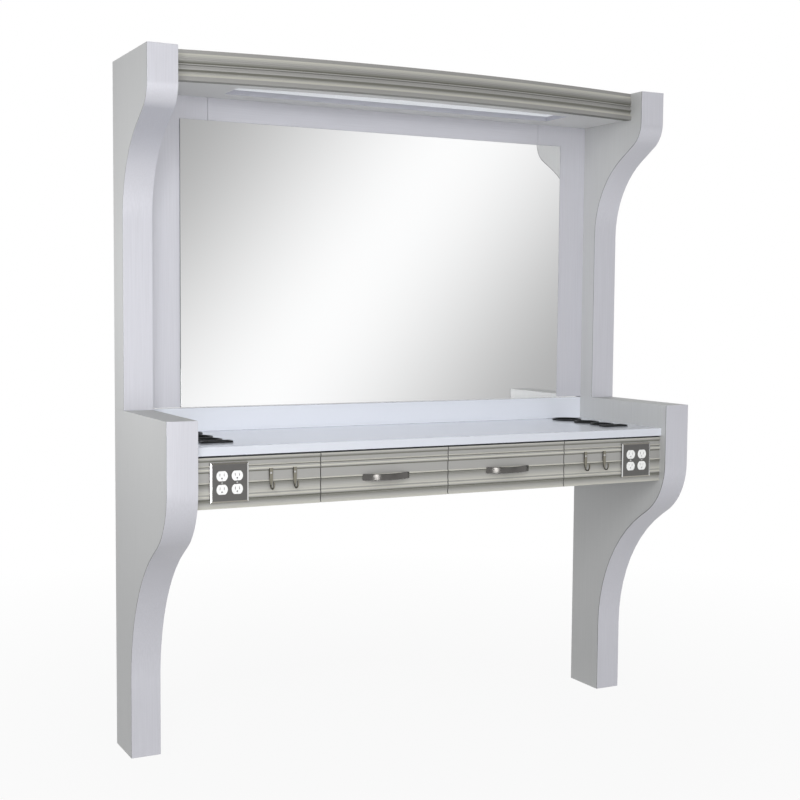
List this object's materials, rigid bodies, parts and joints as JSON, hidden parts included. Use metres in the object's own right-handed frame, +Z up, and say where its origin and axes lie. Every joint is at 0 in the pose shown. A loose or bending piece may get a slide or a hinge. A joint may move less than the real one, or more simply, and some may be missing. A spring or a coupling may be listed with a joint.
{
  "type": "salon styling station",
  "caption": "Salon styling station with ogee side panels, a wide mirror under a lit bowed canopy, and a counter with drawers, outlets, tool hooks and tool holders.",
  "frame": {"origin": "on the floor, at the middle of the width, midway between the back plane and the front of the lower side panels", "axes": "+Z up, +X to the right of a person facing the mirror, the mirror and drawers face -Y and the flat back faces +Y"},
  "size_m": [1.829, 0.533, 2.134],
  "materials": {
    "silver_laminate": "board with a satin silver laminate, fine vertical grain",
    "white_laminate": "board with a smooth bluish white laminate",
    "fluted_silver": "fluted moulding with a satin silver-beige foil",
    "carcass_board": "plain melamine board",
    "mirror_glass": "silvered glass with polished edges",
    "lens_acrylic": "prismatic clear acrylic",
    "tube_glass": "white coated tube",
    "white_steel": "white enamel",
    "zinc_steel": "bright zinc plate",
    "brushed_steel": "brushed stainless",
    "white_plastic": "smooth white nylon",
    "black_plastic": "moulded black, glossy rim"
  },
  "bodies": {
    "station": {"left_lower_panel": "silver_laminate", "left_lower_band": "silver_laminate", "left_upper_panel": "silver_laminate", "left_upper_band": "silver_laminate", "right_lower_panel": "silver_laminate", "right_lower_band": "silver_laminate", "right_upper_panel": "silver_laminate", "right_upper_band": "silver_laminate", "left_back_board": "silver_laminate", "centre_back_board": "silver_laminate", "right_back_board": "silver_laminate", "mirror": "mirror_glass", "crown_moulding": "fluted_silver", "canopy_soffit": "silver_laminate", "canopy_top": "carcass_board", "light_lens": "lens_acrylic", "light_batten": "white_steel", "light_tube": "tube_glass", "counter_top": "white_laminate", "splash_board": "white_laminate", "left_dryer_holder": "black_plastic", "left_wide_iron_holder": "black_plastic", "left_slim_iron_holder": "black_plastic", "left_slot_holder": "black_plastic", "right_dryer_holder": "black_plastic", "right_wide_iron_holder": "black_plastic", "right_slim_iron_holder": "black_plastic", "right_slot_holder": "black_plastic", "rear_apron": "carcass_board", "left_partition": "carcass_board", "centre_partition": "carcass_board", "right_partition": "carcass_board", "left_end_fascia": "fluted_silver", "right_end_fascia": "fluted_silver", "left_outlet_plate": "brushed_steel", "left_outlet_box": "zinc_steel", "left_outer_receptacle": "white_plastic", "left_inner_receptacle": "white_plastic", "right_outlet_plate": "brushed_steel", "right_outlet_box": "zinc_steel", "right_inner_receptacle": "white_plastic", "right_outer_receptacle": "white_plastic", "left_outer_hook": "brushed_steel", "left_inner_hook": "brushed_steel", "right_outer_hook": "brushed_steel", "right_inner_hook": "brushed_steel", "left_outer_cabinet_runner": "zinc_steel", "left_inner_cabinet_runner": "zinc_steel", "right_outer_cabinet_runner": "zinc_steel", "right_inner_cabinet_runner": "zinc_steel"},
    "left_drawer": {"left_drawer_front": "fluted_silver", "left_drawer_box": "carcass_board", "left_drawer_handle": "brushed_steel", "left_outer_drawer_runner": "zinc_steel", "left_inner_drawer_runner": "zinc_steel"},
    "right_drawer": {"right_drawer_front": "fluted_silver", "right_drawer_box": "carcass_board", "right_drawer_handle": "brushed_steel", "right_outer_drawer_runner": "zinc_steel", "right_inner_drawer_runner": "zinc_steel"}
  },
  "joints": [
    {"name": "left_drawer_slide", "type": "slide", "parent": "station", "child": "left_drawer", "axis": [0, -1, 0], "range_m": [0, 0.3]},
    {"name": "right_drawer_slide", "type": "slide", "parent": "station", "child": "right_drawer", "axis": [0, -1, 0], "range_m": [0, 0.3]}
  ]
}
